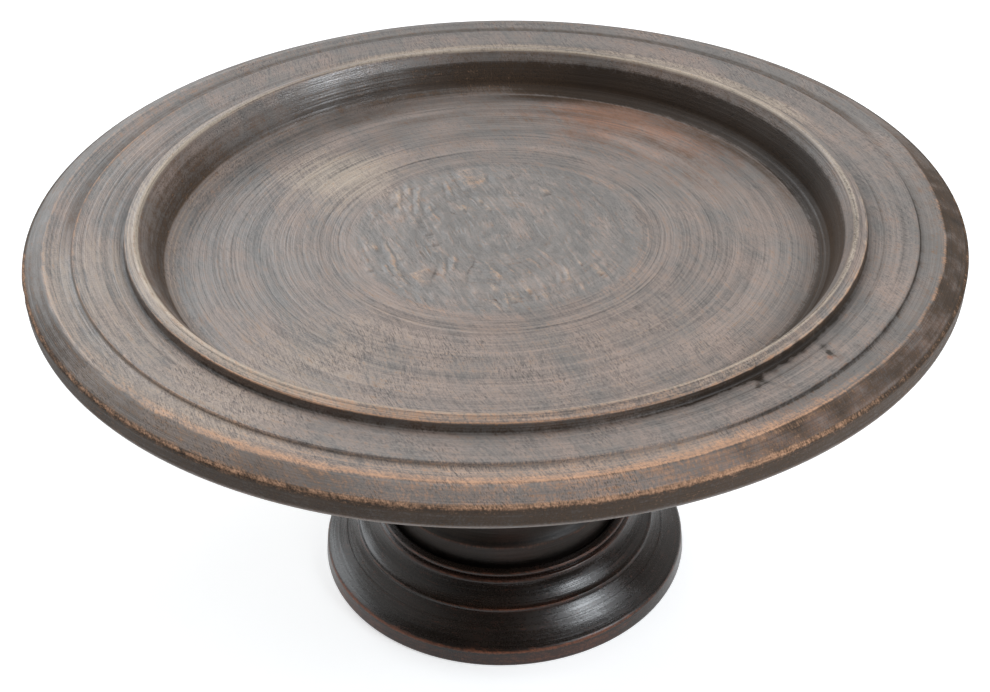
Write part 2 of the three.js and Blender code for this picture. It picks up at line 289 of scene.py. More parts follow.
def rim_paint(x, y, z, radius, angle):
    """What the rim, the lip and the wall show, by where they stand round the tray."""
    spot = (radius, z)
    front = within(angle, -118, -66, 30)
    low_left = within(angle, -168, -122, 10)
    left = max(within(angle, 150, 180, 14), within(angle, -180, -152, 10))
    right = within(angle, -58, 2, 20)
    back = within(angle, 30, 165, 25)
    painted_gleam = within(angle, 32, 112, 15)
    worn = grime_and_shade = warm = red = shade = wet = 0.0
    tooled = 0.9 + 0.5 * right

    # Shoulder and the ring rubbed bare on its crown
    crown = shoulder[0] + 1.3 - 0.6 * front - 1.3 * right
    crown += (0.7 - 0.4 * right) * rough((x, y, 3), 9) + 0.4 * rough((x, y, 3), 3)
    if z > rim_height - 0.5 and radius > lip_edge[0] + 1:
        inwards = crown - radius
        ring = within(inwards, 0.0, 1.2, 4.6 if inwards > 0 else 0.6)
        worn += ring * (0.06 + 0.58 * front + 0.1 * left + 0.06 * back)
        crown_line = near(spot, (crown - 0.3, shoulder[1]), 0.8) * max(right, 0.35 * left)
        crown_line *= 1.0 + 0.6 * rough((x, y, 13), 8)
        worn += 0.38 * crown_line
        warm += 0.35 * crown_line
        # The shoulder's stain varies round the tray; at the back it is also painted darker, as painted
        # shade.
        patch = 0.22 + 0.3 * within(angle, -150, -112, 12) + 0.25 * within(angle, -166, -148, 6)
        patch += 0.46 * right + 0.25 * within(angle, -25, 12, 10) + 0.3 * within(angle, 30, 135, 15)
        patch += (0.1 + 0.3 * right) * rough((x, y, 4), 6) + 0.25 * right * rough((x, y, 8), 2.4)
        sloped = within(radius, crown + 0.5, rim_radius, 0.7)
        shade += patch * sloped
        red += (0.55 * right + 0.2 * front) * sloped
        worn += 0.26 * front * sloped
        # The dip outside the step is painted darker on the left and at the back.
        dip = within(radius + 0.8 * left, step_foot[0] + 0.4, step_foot[0] + 4.2, 1.4)
        shade += (0.52 - 0.5 * within(angle, -166, 14, 12)) * dip
        outer_band = within(radius, step_foot[0], crown, 1)
        warm += 0.15 * within(angle, -170, -60, 30) + 0.3 * low_left
        # At the front the outer band is paler: rubbed wood, and painted sheen.
        warm += 0.3 * front * outer_band
        warm += 0.2 * within(angle, 160, 180, 12) * within(radius, lip_foot[0] + 5, step_top[0], 2)
        worn += 0.28 * front * outer_band
        # Painted shade darkens the outer band on the right and at the back right.
        shade += 0.28 * max(right, 0.4 * within(angle, 20, 90, 20)) * outer_band
        # Painted reflection: the shoulder on the left is cooled to a bluish grey sheen; the outer band
        # is also cooler from the right round to the back.
        warm -= 0.7 * left * sloped + 0.6 * outer_band * within(angle, -50, 120, 15)
        tooled += 0.9 * left

    # Edges that hands and cloths have rubbed
    rubbed_edge = 0.1 + 0.38 * within(angle, -165, -64, 20) + 0.1 * right
    worn += rubbed_edge * near(spot, (rim_radius - 0.5, rim_height), 1.1)
    # Painted shade on the shoulder's outer round at the back.
    shade += 0.6 * back * near(spot, (rim_radius - 0.8, rim_height), 1.4)
    worn += (0.22 + 0.35 * max(left, low_left)) * near(spot, step_top, 0.5 + 0.3 * left)
    flecks = within(angle, -58, 2, 8) * max(0.0, 0.3 + 1.9 * rough((x, y, 5), 2.6))
    lip_worn = 0.35 + 0.2 * front + 0.35 * low_left - 0.2 * right
    worn += lip_worn * near(spot, lip_edge, 0.5)
    worn += 0.6 * flecks * near(spot, lip_edge, 0.8)
    warm += 1.3 * flecks * near(spot, lip_edge, 0.9)
    if z > lip_edge[1] - 0.2 and radius < lip_edge[0] + 1:
        # Painted highlights: the lip's top is paler at the back and at the front right, and a pale line
        # runs along its ridge.
        top = within(radius, lip_ridge[0] - 0.5, lip_edge[0], 0.8)
        ridge_highlight = within(radius, lip_ridge[0] - 0.7, lip_ridge[0] + 0.6, 0.5)
        pale = max(within(angle, -180, -122, 16), within(angle, 150, 180, 20))
        warm += top * (0.12 + 0.5 * pale + 0.6 * painted_gleam + 0.3 * front)
        worn += 0.4 * top * front
        warm += (0.5 + 0.5 * pale + 0.45 * right) * ridge_highlight
        wet += 0.6 * right * ridge_highlight
        painted_glint = within(angle, -63, -45, 8) * top * (0.6 + 0.4 * rough((x, y, 9), 9))
        wet += painted_glint
        warm += 0.3 * painted_glint
        tooled += 1.2

    # Wax and dirt in the corners, and painted shade there: darker at the step's foot, the lip's foot
    # and the groove
    grime_and_shade += (0.3 + 0.7 * right) * near(spot, (step_foot[0], step_foot[1] + 0.15), 0.5 + 0.4 * right)
    lip_foot_dirt_and_shade = 0.5 + 0.3 * low_left + 0.15 * right - 0.38 * max(back, within(angle, 165, 180, 10))
    grime_and_shade += lip_foot_dirt_and_shade * near(spot, (lip_foot[0] + 0.3, lip_foot[1] + 0.2), 1.3)
    grime_and_shade += 0.14 * within(angle, -130, -30, 15) * near(spot, (lip_foot[0] + 0.5, lip_foot[1]), 3.2)
    grime_and_shade += (0.1 * front + 0.5 * right) * near(spot, (groove_radius, groove_height - 0.2), 0.8)
    tar = within(angle, -64, -38, 8) * max(0.0, 0.45 + 1.3 * rough((x, y, 11), 2.2))
    grime_and_shade += 0.9 * tar * near(spot, (lip_foot[0] + 0.5, lip_foot[1] + 0.3), 1.6)
    # Painted highlight: a pale band just outside the lip's foot at the back.
    if lip_foot[0] + 8 > radius > lip_foot[0] + 2:
        warm += 0.8 * painted_gleam * within(radius, lip_foot[0] + 4, lip_foot[0] + 7, 1.5)

    # The well's wall, the lip's outer side and the edge are still stained, with painted shade and light
    # on them
    if bevel_foot[0] + 3.4 > radius > floor_radius - 5:
        depth = (lip_ridge[1] - z) / (lip_ridge[1] - floor_height)
        # Stain, and painted shade that darkens the wall at the back and on the right more than on the
        # left.
        wall_stain_and_shade = 0.76 + 0.34 * within(angle, 28, 112, 25) - 0.1 * left + 0.3 * within(angle, -45, 20, 20)
        # Painted highlight: high on the wall at the back left the stain is thinned and the colour
        # cooled, and it is glossier.
        wall_highlight = within(angle, 110, 145, 14) * within(depth, 0.0, 0.85, 0.15)
        # The bevel is stained less on the right, painted lighter there as a highlight.
        shade += 0.48 * (1 - 0.8 * right) * (1 - wall_highlight) * within(depth, 0.08, 0.27, 0.05)
        shade += (wall_stain_and_shade - 0.4 * wall_highlight) * within(depth, 0.32, 0.84, 0.05)
        wet += (0.8 + 0.5 * rough((x, y, 16), 8)) * wall_highlight
        warm -= 0.4 * wall_highlight
        # Painted shade in the corner at the wall's foot, strongest on the right and at the back right.
        wall_foot_shade = 0.2 + 1.0 * within(angle, -38, 72, 18) + 0.4 * within(angle, 72, 115, 20)
        shade += wall_foot_shade * within(radius, floor_radius - 1.8, floor_radius + 2, 2.2)
        # Painted shade on the wall at the back right and on the right.
        wall_shade = 0.75 * within(angle, 15, 72, 18) + 0.35 * within(angle, -40, 15, 15)
        grime_and_shade += wall_shade * within(depth, 0.3, 1.0, 0.1)
        # Painted highlights on the small arrises in the corner at the wall's foot, which are also
        # glossier.
        arris_glints = sum(near(spot, point.xy, 0.4) for point in corner[1:-1])
        warm += 0.6 * arris_glints
        wet += 0.5 * arris_glints
    elif lip_edge[0] + 0.7 > radius > lip_edge[0] - 0.1 and z < lip_edge[1] - 0.3:
        shade += 0.48 + 0.4 * right
        grime_and_shade += 0.4 * within(angle, -62, -46, 5)
    elif radius > rim_radius - 1 or z < rim_height - 1:
        # Near the edge's lower round the stain is thinned, as a painted reflection of the floor.
        shade += 1.0 - 0.8 * within(z, edge_foot - 3, edge_foot + 1.8, 1)
    return worn, grime_and_shade, warm, red, shade, tooled, wet


for vertex in dish_shape.verts:
    x, y, z = vertex.co
    radius, angle = math.hypot(x, y), math.degrees(math.atan2(y, x))
    if radius < floor_radius - 4.5 and abs(z - floor_height) < 0.3:
        paint = floor_paint(x, y, radius, angle)
        vertex.co.z += 0.05 * rough((x, y, 0), 7) + 0.12 * rough((x, y, 5), 24)
    else:
        paint = rim_paint(x, y, z, radius, angle)
    for name, value in zip(layer_names, paint):
        vertex[layers[name]] = value

# Torn grain in the middle of the well. It lies in slivers along the grain, each of which rises
# slowly across the grain to a crest that is rubbed paler and painted paler as a highlight, and drops
# off into a furrow that is dirtier and painted darker as shade.
sliver_width = 5
sliver_length = 11
sliver_rise = 0.75
crest_at = 0.75
torn_depth = 0.12
torn_verts = [
    vertex for vertex in dish_shape.verts
    if abs(vertex.co.z - floor_height) < 0.6 and vertex.co.xy.length < tear_radius + 5
]
for vertex in torn_verts:
    x, y, z = vertex.co
    radius, angle = math.hypot(x, y), math.degrees(math.atan2(y, x))
    torn = within(radius + 3 * rough((x, y, 6), 12), 0, tear_radius - 1, 3.5)
    along, across = grain_way.dot((x, y)), grain_side.dot((x, y))
    sliver = across / sliver_width + 1.7 * rough((along * 0.6, across, 7), 15)
    lifted = rough((along, 37 * math.floor(sliver), 9), sliver_length)
    lifted = min(max(3.2 * lifted, 0.0), 1.0)
    height = sliver - math.floor(sliver)
    height = min(height / crest_at, (1 - height) / (1 - crest_at))
    reach = within(radius, 25, tear_radius - 4, 9)
    reach *= torn * (0.2 + 0.8 * max(within(angle, -165, -22, 22), 0.9 * within(angle, 95, 150, 20)))
    vertex.co.z += sliver_rise * lifted * reach * (height - 0.4) - torn_depth * torn
    vertex.co.z += 0.3 * torn * rough((along / 2, across, 12), 4)
    vertex[layers["torn"]] = torn
    vertex[layers["tooled"]] *= 1 - 0.88 * torn
    vertex[layers["warm"]] += 0.6 * lifted * reach * max(2 * height - 1.0, 0.0)
    vertex[layers["worn"]] += 0.45 * lifted * reach * max(3 * height - 2.0, 0.0)
    vertex[layers["grime_and_shade"]] += 0.6 * lifted * reach * max(1 - height / 0.3, 0.0)

# Larger flakes of it stand up at these places, each painted dark, as dirt and painted shadow, where it
# drops off at its far end
flakes = [
    # across, away, length, width, lift, rubbed
    (5.3, 50.0, 9, 7, 0.7, 0.1), (18.7, 35.5, 11, 6, 0.75, 0.6), (28.0, 46.0, 5, 3, 0.5, 0.0),
    (17.5, 19.0, 9, 2, 0.5, 0.3), (32.1, 11.0, 3, 2, 0.45, 0.0), (-43.5, 28.0, 10, 4, 0.6, 0.1),
    (-15.0, 23.0, 10, 3.2, 0.6, 0.9), (-8.0, 29.0, 10, 3, 0.55, 0.8), (-4.0, 22.0, 8, 2.5, 0.5, 0.8),
    (-10.5, 16.0, 7, 2.5, 0.5, 0.6), (4.2, 35.0, 8, 2.5, 0.4, 0.7), (-26.5, 24.0, 9, 3.5, 0.6, 0.3),
    (-28.0, 3.0, 6, 5, 0.7, 0.0), (-25.5, -5.0, 6, 5, 0.7, 0.0), (-49.6, -5.5, 12, 2.8, 0.6, 0.9),
    (-39.5, -14.0, 10, 2.5, 0.6, 0.9), (-39.0, -25.0, 10, 4, 0.5, 0.6), (-50.0, -23.0, 7, 4, 0.6, 0.1),
    (-29.0, -29.0, 16, 3, 0.6, 0.1), (-20.0, -38.0, 16, 3.5, 0.6, 0.2), (-3.5, -36.0, 14, 3, 0.55, 0.9),
    (3.0, -43.0, 13, 3.5, 0.55, 0.8), (-1.0, -29.0, 8, 2, 0.5, 0.7), (9.5, -38.5, 12, 3, 0.6, 0.9),
    (16.5, -43.5, 9, 3, 0.55, 0.8), (25.5, -32.0, 12, 3, 0.55, 0.7), (30.0, -20.5, 9, 2.5, 0.5, 0.7),
    (37.5, -27.0, 10, 4, 0.5, 0.9), (20.0, -12.0, 6, 4, 0.6, 0.1), (23.5, -22.0, 5, 3, 0.5, 0.0),
    (6.0, -14.0, 6, 2.5, 0.4, 0.3), (1.5, -14.5, 8, 4, 0.4, 0.4), (-33.0, 14.0, 9, 3, 0.6, 0.2),
]
tree = KDTree(len(torn_verts))
for i, vertex in enumerate(torn_verts):
    tree.insert((*vertex.co.xy, 0), i)
tree.balance()
for across, away, length, width, rise, rubbed in flakes:
    for spot, i, distance in tree.find_range((across, away, 0), length):
        vertex = torn_verts[i]
        offset = Vector((vertex.co.x - across, vertex.co.y - away))
        ahead = offset.dot(grain_way) / (length / 2)
        aside = offset.dot(grain_side) / (width / 2)
        if abs(ahead) > 1.2 or abs(aside) > 1:
            continue
        hump = max((ahead + 1) / 1.7 if ahead < 0.7 else (1.2 - ahead) / 0.5, 0.0)
        body = 1 - aside * aside
        vertex.co.z += 0.9 * rise * body * (hump - 0.3)
        vertex[layers["warm"]] += 0.8 * rubbed * body * hump
        vertex[layers["worn"]] += 0.3 * rubbed * body * hump
        vertex[layers["grime_and_shade"]] += 1.3 * rise * body * max(0.0, ahead - 0.6)

# A chip in the edge, low on the left. Its depth is a share of the rim's radius.
chip_way = math.radians(-162)
chip_reach = 3.4
chip_depth = 0.009
chip_spot = (rim_radius * math.cos(chip_way), rim_radius * math.sin(chip_way), edge_foot + 4.5)
for vertex in dish_shape.verts:
    if vertex.co.xy.length > rim_radius - 5 and vertex.co.z > edge_foot - 1:
        chip = near(vertex.co, chip_spot, chip_reach)
        vertex.co.xy *= 1 - chip_depth * chip
        vertex[layers["grime_and_shade"]] += 0.5 * chip

# A knot, a worm hole and dark flecks beside the lip, a crack across the shoulder, dots further
# round, and a long scratch in the well
marks = [
    # across, away, way in degrees, length, width, grime, red
    (85.5, -117, -75, 7, 3, 0.9, 0.3), (84.5, -122, -95, 6, 2.4, 0.5, 0.5),
    (89, -121.5, -42, 9, 1.8, 0.5, 0.1), (94.5, -125.5, -20, 7, 1.8, 0.45, 0),
    (103, -124.3, -60, 6, 2, 0.35, 0), (110.8, -105.2, -70, 4.4, 2, 1.2, 0),
    (110.3, -108.6, -90, 3, 2, 0, 1.3), (109.6, -99.9, -60, 5, 3, 0.5, 0),
    (113.8, -109, -60, 8, 5, 0.3, 0.3), (120.5, -103.2, -60, 3.4, 2, 0.5, 0),
    (101.4, -101.6, -50, 6, 3.4, 0.5, 0), (96.5, -107.5, -50, 6, 3, 0.45, 0),
    (91, -113.5, -55, 6, 3, 0.4, 0.3), (175.2, -21.5, -7, 7, 1.2, 0.9, 0),
    (127, 80, 35, 2, 1.8, 0.7, 0), (121, 88, 35, 2.2, 1.8, 0.7, 0),
    (115.5, 96, 40, 2, 1.8, 0.7, 0), (110, 100, 40, 2.4, 1.8, 0.7, 0),
    (102.5, 110, 45, 2, 1.8, 0.6, 0), (119, 94, 45, 2, 1.6, 0.5, 0),
    (30.2, 37, -80, 15, 1.6, 0, 0.5), (33, 24, -78, 15, 1.6, 0, 0.5),
]
upper_verts = [vertex for vertex in dish_shape.verts if vertex.co.z > floor_height - 1]
tree = KDTree(len(upper_verts))
for i, vertex in enumerate(upper_verts):
    tree.insert((*vertex.co.xy, 0), i)
tree.balance()
for across, away, way, length, width, grime_and_shade, red in marks:
    along = Vector((math.cos(math.radians(way)), math.sin(math.radians(way))))
    for spot, i, distance in tree.find_range((across, away, 0), length):
        vertex = upper_verts[i]
        offset = vertex.co.xy - Vector((across, away))
        ahead, aside = 2 * offset.dot(along) / length, 2 * offset.cross(along) / width
        amount = math.exp(-ahead ** 2 - aside ** 2)
        vertex.co.z -= 0.15 * grime_and_shade * amount
        vertex[layers["grime_and_shade"]] += 1.1 * grime_and_shade * amount
        vertex[layers["red"]] += red * amount


def add(wood, kind, inputs=None, **settings):
    """Adds a node to a material, with plain values or other nodes' sockets on its inputs."""
    node = wood.node_tree.nodes.new("ShaderNode" + kind)
    for name, value in settings.items():
        setattr(node, name, value)
    for name, value in (inputs or {}).items():
        if isinstance(value, bpy.types.NodeSocket):
            wood.node_tree.links.new(value, node.inputs[name])
        else:
            node.inputs[name].default_value = value
    return node


def reckon(wood, operation, *values):
    """A sum on single numbers."""
    return add(wood, "Math", dict(enumerate(values)), operation=operation).outputs[0]


def spread(wood, value, low, high, to_low=0.0, to_high=1.0):
    """Stretches a range of values softly over another."""
    inputs = {"Value": value, 1: low, 2: high, 3: to_low, 4: to_high}
    return add(wood, "MapRange", inputs, interpolation_type="SMOOTHSTEP").outputs[0]


def speckle(wood, place, scale, detail=2.0):
    """Noise of 0 to 1, with its features about one unit over the scale in size."""
    return add(wood, "TexNoise", {"Vector": place, "Scale": scale, "Detail": detail}).outputs[0]


def summed(wood, start, *parts):
    """A start value, and the sway of each noise about its middle, by its weight."""
    total = start - 0.5 * sum(weight for noise_value, weight in parts)
    for noise_value, weight in parts:
        total = reckon(wood, "MULTIPLY_ADD", noise_value, weight, total)
    return total


def blended(wood, amount, under, over):
    """Lays one colour over another."""
    return add(wood, "Mix", {0: amount, 6: under, 7: over}, data_type="RGBA").outputs[2]


def painted(wood, name):
    """What the mesh says at each point, such as how worn it is."""
    return add(wood, "Attribute", attribute_name=name).outputs["Fac"]


def turned_wood(name, cool, mild, stain_and_shade, rubbed, golden, russet, grain, gloss, shine, depth):
    """Stained wood off the lathe: its fibres and pores run straight and its tool marks run round."""
    wood = bpy.data.materials.new(name)
    wood.use_nodes = True
    surface = wood.node_tree.nodes["Principled BSDF"]
    here = add(wood, "TexCoord").outputs["Object"]
    place = add(wood, "VectorMath", {0: here, "Scale": 1000}, operation="SCALE").outputs[0]

    # Straight grain, with a slow waver
    drift = add(wood, "TexNoise", {"Vector": place, "Scale": 0.012, "Detail": 1}).outputs[1]
    waver = {0: drift, 1: (18, 18, 18), 2: place}
    wavy = add(wood, "VectorMath", waver, operation="MULTIPLY_ADD").outputs[0]

    def grained(length, width):
        inputs = {"Vector": wavy, "Rotation": grain, "Scale": (length, width, width)}
        return add(wood, "Mapping", inputs, vector_type="TEXTURE").outputs[0]

    fibre = speckle(wood, grained(14, 0.9), 1, 3)
    hair = speckle(wood, grained(4.2, 0.35), 1, 1)
    pore = speckle(wood, grained(2.4, 0.36), 1, 0)
    year = speckle(wood, grained(150, 12), 1, 2)
    tear = spread(wood, speckle(wood, grained(14, 2.2), 1, 2), 0.42, 0.66)

    # Tool marks run round, less so where the grain is torn
    around = add(wood, "VectorMath", {0: place, 1: (1, 1, 0)}, operation="MULTIPLY").outputs[0]
    around = add(wood, "VectorMath", {0: around}, operation="NORMALIZE").outputs[0]
    side = add(wood, "SeparateXYZ", {0: around}).outputs
    lay = painted(wood, "lay")
    torn = painted(wood, "torn")
    tooled = painted(wood, "tooled")

    def ringed(fine, far):
        inputs = {
            0: reckon(wood, "MULTIPLY", lay, fine),
            1: reckon(wood, "MULTIPLY", side[0], far),
            2: reckon(wood, "MULTIPLY", side[1], far),
        }
        return add(wood, "CombineXYZ", inputs).outputs[0]

    broad = speckle(wood, ringed(0.12, 0.7), 1, 3)
    tool = speckle(wood, ringed(0.8, 1.1), 1, 2)
    score = speckle(wood, ringed(2.2, 1.6), 1, 1)
    cloud = speckle(wood, place, 0.055, 3)
    patch = speckle(wood, place, 0.2, 2)
    grit = speckle(wood, place, 1.5, 2)
    cut = spread(wood, score, 0.57, 0.68)

    # The grain is more open in some places than in others
    open_grain = spread(wood, cloud, 0.38, 0.62, 0.3, 1.2)
    open_grain = reckon(wood, "MULTIPLY", open_grain, reckon(wood, "MULTIPLY_ADD", torn, -0.4, 1.0))
    open_grain = reckon(wood, "MULTIPLY", open_grain, spread(wood, tooled, 0.9, 1.9, 1.0, 0.35))
    pit = reckon(wood, "MULTIPLY", spread(wood, pore, 0.58, 0.70), open_grain)

    # Lightness
    rings = summed(wood, 0.0, (tool, 0.7), (score, 0.75))
    rings = reckon(wood, "MULTIPLY_ADD", cut, -0.25, rings)
    light = summed(
        wood, 1.0, (fibre, 0.8), (cloud, 0.3), (patch, 0.35), (grit, 0.9), (year, 0.3), (broad, 0.7),
    )
    light = reckon(wood, "MULTIPLY_ADD", rings, tooled, light)
    torn_up = reckon(wood, "MULTIPLY", reckon(wood, "SUBTRACT", tear, 0.35), torn)
    torn_up = reckon(wood, "MULTIPLY", torn_up, spread(wood, patch, 0.42, 0.62, 0.15, 1.0))
    light = reckon(wood, "MULTIPLY_ADD", torn_up, 0.2, light)
    light = reckon(wood, "MULTIPLY_ADD", summed(wood, 0.0, (hair, 0.9)), open_grain, light)
    light = reckon(wood, "MULTIPLY", light, reckon(wood, "MULTIPLY_ADD", pit, -0.4, 1.0))

    # Hue
    hue = summed(
        wood, 0.5, (cloud, 1.0), (year, 1.0), (broad, 0.8), (fibre, 0.5), (patch, 0.4), (hair, 0.2),
    )
    hue = reckon(wood, "MULTIPLY_ADD", torn, -0.3, hue)
    hue = reckon(wood, "MULTIPLY_ADD", torn_up, 0.45, hue)
    hue = reckon(wood, "MULTIPLY_ADD", painted(wood, "warm"), 0.6, hue)
    colour = blended(wood, spread(wood, hue, 0.0, 1.0), (*cool, 1), (*mild, 1))
    ragged = summed(wood, 0.0, (fibre, 0.9), (hair, 0.4), (tool, 0.9), (grit, 0.7), (patch, 0.6))

    def layer_over(under, what, over, low, high):
        amount = reckon(wood, "ADD", painted(wood, what), ragged)
        return blended(wood, spread(wood, amount, low, high), under, (*over, 1))

    colour = layer_over(colour, "warm", golden, 0.1, 1.3)
    colour = layer_over(colour, "red", russet, 0.1, 1.2)
    # The shade layer lays on the stain colour: real stain, and painted shade where it stands for shade.
    colour = layer_over(colour, "shade", stain_and_shade, -0.05, 1.05)
    colour = layer_over(colour, "worn", rubbed, 0.1, 1.1)
    # The grime layer: dark wax and dirt, and painted shade in creases, corners and furrows.
    colour = layer_over(colour, "grime_and_shade", [value * 0.45 for value in stain_and_shade], 0.1, 1.1)
    colour = add(wood, "VectorMath", {0: colour, "Scale": light}, operation="SCALE").outputs[0]
    wood.node_tree.links.new(colour, surface.inputs["Base Color"])

    # Gloss and relief
    dull = summed(wood, gloss, (tool, 0.25), (grit, 0.25), (cloud, 0.2))
    dull = reckon(wood, "MULTIPLY_ADD", painted(wood, "worn"), 0.2, dull)
    dull = reckon(wood, "MULTIPLY_ADD", painted(wood, "shade"), 0.2, dull)
    dull = reckon(wood, "MULTIPLY_ADD", painted(wood, "wet"), -0.3, dull)
    dull = reckon(wood, "MAXIMUM", dull, 0.15)
    wood.node_tree.links.new(dull, surface.inputs["Roughness"])
    surface.inputs["Specular IOR Level"].default_value = shine
    relief = summed(wood, 0.0, (tool, 1.0), (score, 0.5))
    relief = reckon(wood, "MULTIPLY", reckon(wood, "MULTIPLY_ADD", cut, -0.4, relief), tooled)
    raised = summed(wood, 0.0, (fibre, 0.6), (hair, 0.35), (grit, 0.25))
    relief = reckon(wood, "MULTIPLY_ADD", raised, open_grain, relief)
    relief = reckon(wood, "MULTIPLY_ADD", pit, -0.3, relief)
    relief = reckon(wood, "MULTIPLY_ADD", torn_up, 1.6, relief)
    bump = add(wood, "Bump", {"Strength": 0.8, "Distance": depth * mm, "Height": relief}).outputs[0]
    wood.node_tree.links.new(bump, surface.inputs["Normal"])
    return wood


def placed(shape, name, material, slot, *nodes):
    """Makes a finished shape a piece of the object, in metres, in the place of its nodes."""
    bmesh.ops.scale(shape, vec=(mm, mm, mm), verts=shape.verts)
    mesh = bpy.data.meshes.new(name)
    shape.to_mesh(mesh)
    shape.free()
    mesh.materials.append(material)
    mesh.shade_smooth()
    mesh.set_sharp_from_angle(angle=math.radians(42))
    piece = bpy.data.objects.new(name, mesh)
    bpy.context.scene.collection.objects.link(piece)
    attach(piece, "root")
    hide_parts(*nodes)
    return piece


def drilled(piece, *cutters):
    """Cuts holes in a piece with solids that are then thrown away."""
    for cutter in cutters:
        bmesh.ops.scale(cutter, vec=(mm, mm, mm), verts=cutter.verts)
        mesh = bpy.data.meshes.new("cutter")
        cutter.to_mesh(mesh)
        cutter.free()
        tool_piece = bpy.data.objects.new("cutter", mesh)
        bpy.context.scene.collection.objects.link(tool_piece)
        cut = piece.modifiers.new("cut", "BOOLEAN")
        cut.operation = "DIFFERENCE"
        cut.solver = "MANIFOLD"
        cut.object = tool_piece
        with bpy.context.temp_override(object=piece):
            bpy.ops.object.modifier_apply(modifier="cut")
        bpy.data.objects.remove(tool_piece)
        bpy.data.meshes.remove(mesh)


def rod(radius, inner, outer, angle, height):
    """A round rod along a radius of the tray."""
    shape = bmesh.new()
    moved = Matrix.Translation(((inner + outer) / 2, 0, height))
    laid = moved @ Matrix.Rotation(math.pi / 2, 4, "Y")
    bmesh.ops.create_cone(
        shape, cap_ends=True, segments=32, radius1=radius, radius2=radius,
        depth=outer - inner, matrix=Matrix.Rotation(angle, 4, "Z") @ laid,
    )
    return shape


peg_height = boss_height + 4
peg_radius = 2.6
peg_inner = 14
peg_bore = peg_radius + clearance
peg_angles = [math.pi / 2 + 2 * math.pi * i / 3 for i in range(3)]
dish_wood = turned_wood(
    "dish_wood", cool=(0.210, 0.190, 0.176), mild=(0.266, 0.203, 0.172), stain_and_shade=(0.046, 0.025, 0.012),
    rubbed=(0.46, 0.262, 0.16), golden=(0.43, 0.35, 0.275), russet=(0.29, 0.148, 0.095),
    grain=Euler((0, 0, grain_angle)), gloss=0.46, shine=0.45, depth=0.18,
)
dish = placed(dish_shape, "turned_dish", dish_wood, "dish_wood", "dish")
drilled(dish, *(rod(peg_bore, 25, boss_radius + 1, angle, peg_height) for angle in peg_angles))

# Stem: a short thick column turned from one block between centres, stained nearly black. Its upper
# tenon fills the dish's mortise, and its lower one passes through the foot and is kerfed for wedges.
stem_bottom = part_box("foot")[1].z / mm - 3
stem_top = boss_height - clearance
base_radius = 51.3
base_top = stem_bottom + 12.5
neck = (base_radius - 1.4, base_top + 1.4)
waist = (42, (stem_bottom + stem_top) / 2)
flare = (51.6, stem_top - 4)
head_radius = 53
low_tenon = 18
high_tenon = 26
tenon_chamfer = 1.2
tenon_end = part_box("stem")[0].z / mm
tenon_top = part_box("stem")[1].z / mm

outline = [(0, tenon_end)]
straight(outline, low_tenon - 1, tenon_end, 6)
bowed(outline, (low_tenon, tenon_end), (low_tenon, tenon_end + 1), 0.4)
straight(outline, low_tenon, stem_bottom, 6)
straight(outline, base_radius - 1, stem_bottom, 8)
bowed(outline, (base_radius, stem_bottom), (base_radius, stem_bottom + 1), 0.4)
straight(outline, base_radius, base_top - 0.4, 1.6)
bowed(outline, (base_radius, base_top), (base_radius - 0.4, base_top + 0.4), 0.3)
straight(outline, *neck, 0.7)
waist_low = interpolate_bezier(
    Vector((*neck, 0)), Vector((waist[0], base_top + 8, 0)),
    Vector((waist[0], waist[1] - 8, 0)), Vector((*waist, 0)), 26,
)
outline.extend((point.x, point.y) for point in waist_low[1:])
waist_high = interpolate_bezier(
    Vector((*waist, 0)), Vector((waist[0], waist[1] + 16, 0)),
    Vector((flare[0], flare[1] - 16, 0)), Vector((*flare, 0)), 32,
)
outline.extend((point.x, point.y) for point in waist_high[1:])
straight(outline, head_radius - 0.4, stem_top - 3, 0.7)
bowed(outline, (head_radius, stem_top - 2.6), (head_radius, stem_top - 2), 0.4)
straight(outline, head_radius, stem_top - 0.5, 0.6)
bowed(outline, (head_radius, stem_top), (head_radius - 0.5, stem_top), 0.3)
straight(outline, high_tenon, stem_top, 9)
straight(outline, high_tenon, tenon_top - tenon_chamfer, 5)
straight(outline, high_tenon - tenon_chamfer, tenon_top)
straight(outline, 0, tenon_top, 9)
stem_shape = turned(outline, 160)
for name in layer_names:
    stem_shape.verts.layers.float.new(name)
stem_worn, stem_grime_and_shade, stem_red, stem_shade, stem_tooled = (
    stem_shape.verts.layers.float[name] for name in ("worn", "grime_and_shade", "red", "shade", "tooled")
)
for vertex in stem_shape.verts:
    spot = (math.hypot(vertex.co.x, vertex.co.y), vertex.co.z)
    vertex[stem_worn] = 0.4 * near(spot, (base_radius - 0.1, base_top), 0.7)
    vertex[stem_worn] += 0.5 * near(spot, (head_radius, stem_top - 2.6), 0.8)
    # Dirt and painted shade darken the stem where it enters the foot's socket, and in the corner at its
    # neck.
    vertex[stem_grime_and_shade] = near(spot, (base_radius, stem_bottom + 3), 3)
    vertex[stem_grime_and_shade] += 0.8 * near(spot, (neck[0] + 0.1, neck[1] + 0.1), 1)
    angle = math.degrees(math.atan2(vertex.co.y, vertex.co.x))
    vertex[stem_red] = 0.7 * within(angle, -92, -80, 9)
    vertex[stem_shade] = 0.6
    vertex[stem_tooled] = 1.6

stem_wood = turned_wood(
    "stem_wood", cool=(0.030, 0.020, 0.014), mild=(0.042, 0.025, 0.016), stain_and_shade=(0.010, 0.006, 0.004),
    rubbed=(0.12, 0.05, 0.028), golden=(0.3, 0.2, 0.12), russet=(0.08, 0.032, 0.02),
    grain=Euler((0, math.pi / 2, 0)), gloss=0.34, shine=0.4, depth=0.08,
)
stem = placed(stem_shape, "turned_stem", stem_wood, "foot_wood", "stem")


